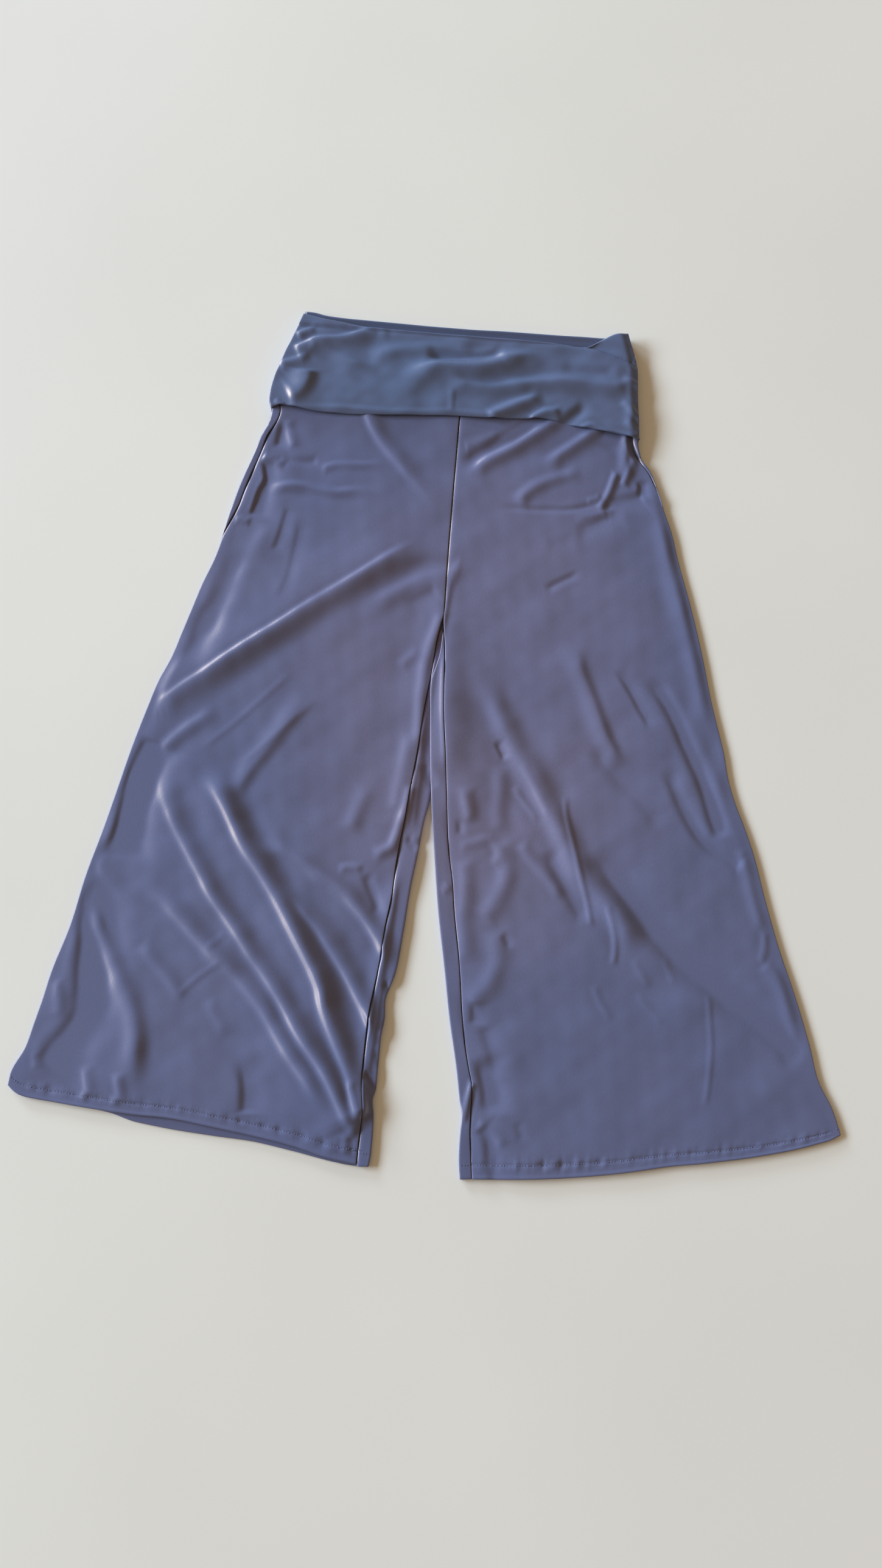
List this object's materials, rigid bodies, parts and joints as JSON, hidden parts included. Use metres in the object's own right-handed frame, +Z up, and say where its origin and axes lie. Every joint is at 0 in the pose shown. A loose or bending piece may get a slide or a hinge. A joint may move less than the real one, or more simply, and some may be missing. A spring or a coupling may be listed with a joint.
{
  "type": "capri pants",
  "caption": "Wide-leg capri pants in thin slinky jersey with a deep fold-over waistband, lying flat with the front up; flared legs, plain turned hems, soft creases.",
  "frame": {"origin": "on the surface that the garment lies on, under the middle of its outline", "axes": "+X to the wearer's left leg, +Y towards the waist, +Z up from the surface, out of the garment's front"},
  "size_m": [0.7768, 0.8621, 0.0126],
  "materials": {
    "jersey": "soft satin knit",
    "doubled_jersey": "soft satin knit, two layers",
    "thread": "matching polyester thread"
  },
  "bodies": {
    "root": {"front_left": "jersey", "front_right": "jersey", "back_left": "jersey", "back_right": "jersey", "band_front": "doubled_jersey", "band_back": "doubled_jersey"}
  },
  "joints": []
}
